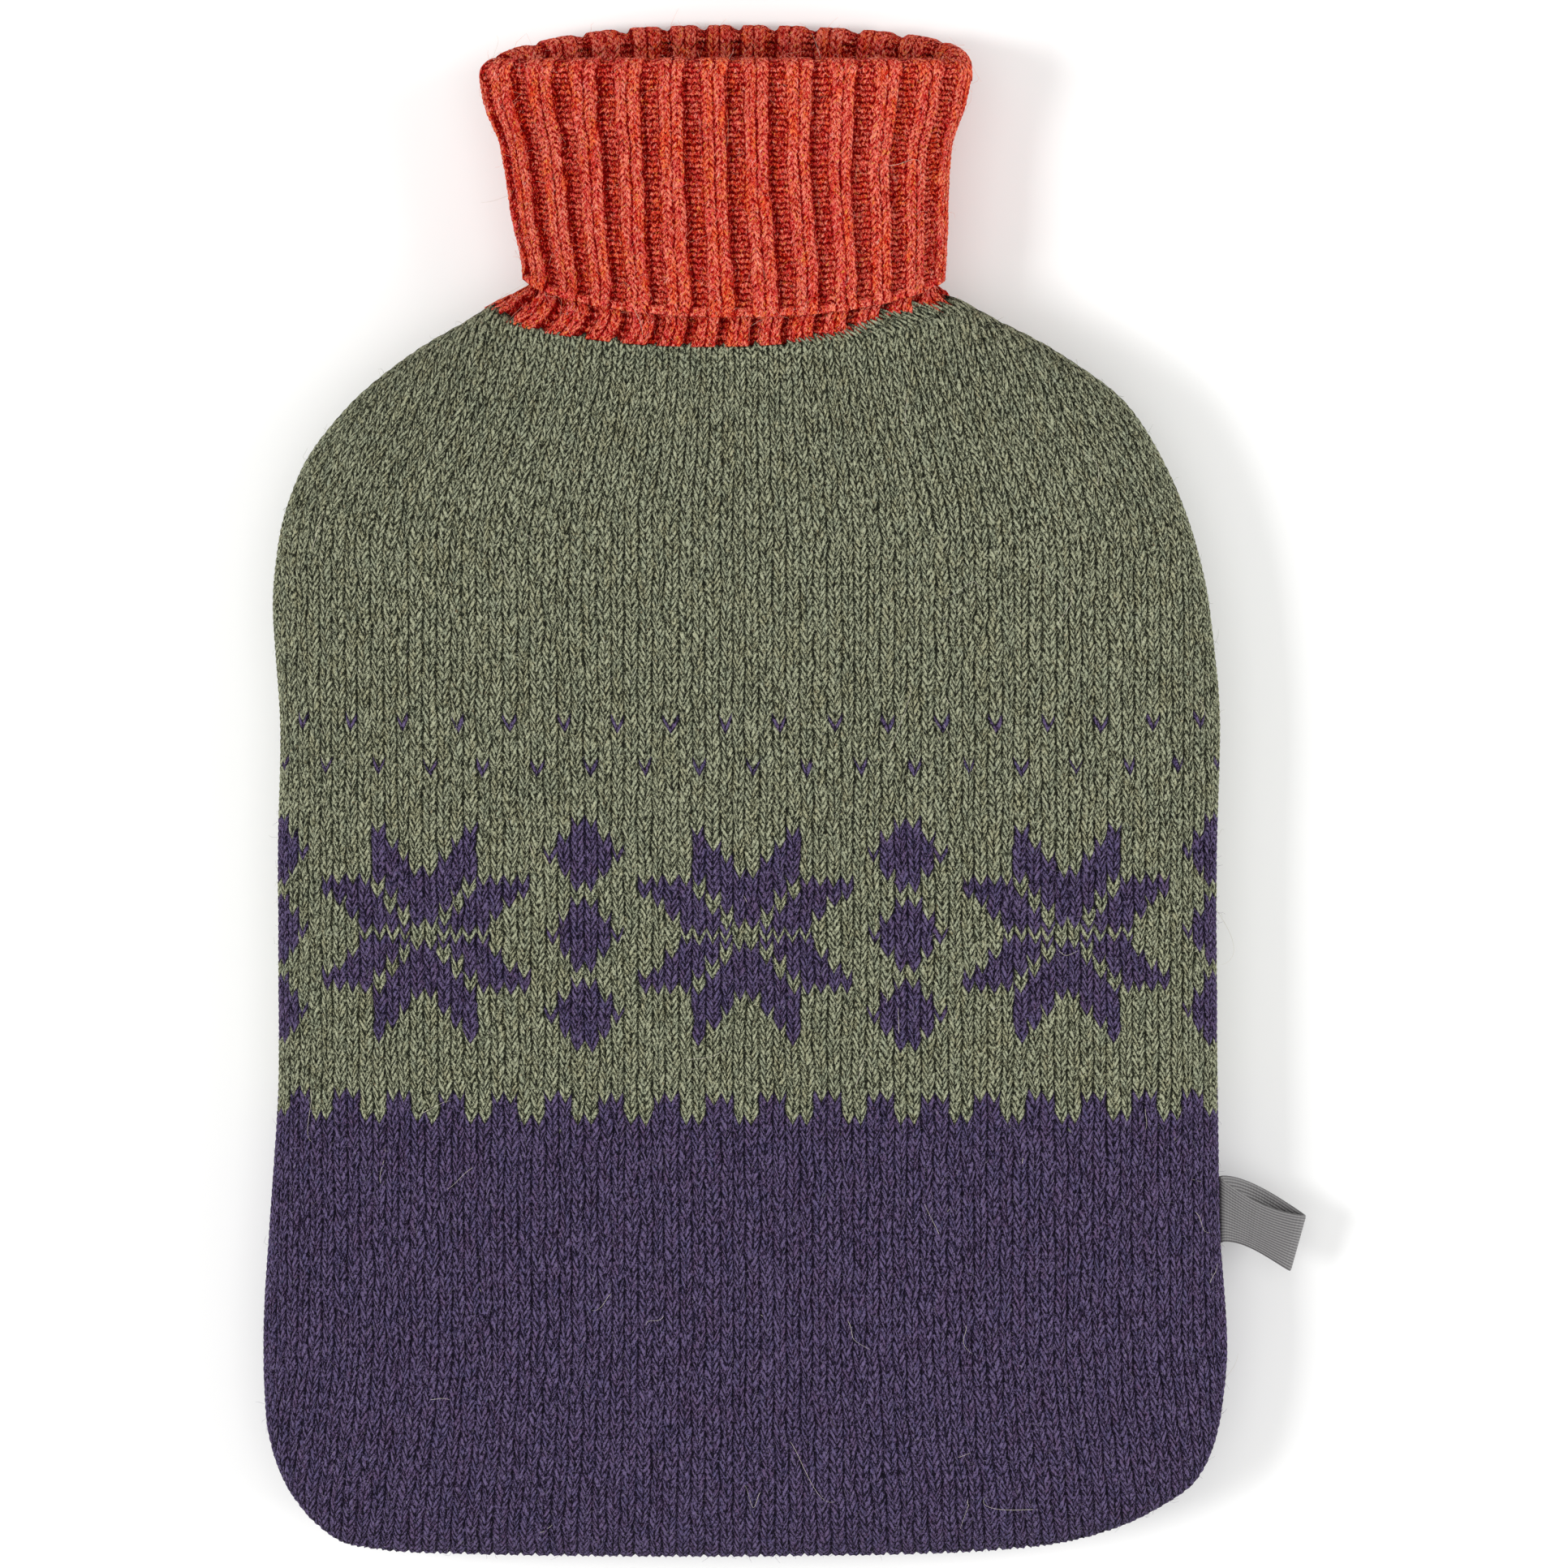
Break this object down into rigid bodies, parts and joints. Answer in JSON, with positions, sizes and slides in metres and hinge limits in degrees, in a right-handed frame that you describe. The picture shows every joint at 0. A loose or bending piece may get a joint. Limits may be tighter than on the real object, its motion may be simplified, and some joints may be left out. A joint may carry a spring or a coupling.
{
  "type": "hot water bottle cover",
  "caption": "Knitted wool cover for a hot water bottle: flat pillow-shaped body, ribbed turned-down collar and a bare tape loop in the side seam, lying on its back.",
  "frame": {"origin": "middle of the flat back, on the surface the cover lies on", "axes": "+X to the side with the tape loop, +Y along the cover towards the collar, +Z out of the front"},
  "size_m": [0.227, 0.333, 0.0429],
  "materials": {
    "panel_knit": "washed lambswool in stocking stitch, moss green above a plum purple band, with a knitted-in border of purple stars",
    "rib_knit": "washed lambswool in two-by-two rib, heathered orange red",
    "woven_tape": "plain grey woven tape, bare"
  },
  "bodies": {
    "root": {"front_panel": "panel_knit", "back_panel": "panel_knit", "rib_collar": "rib_knit", "side_label": "woven_tape"}
  },
  "joints": []
}
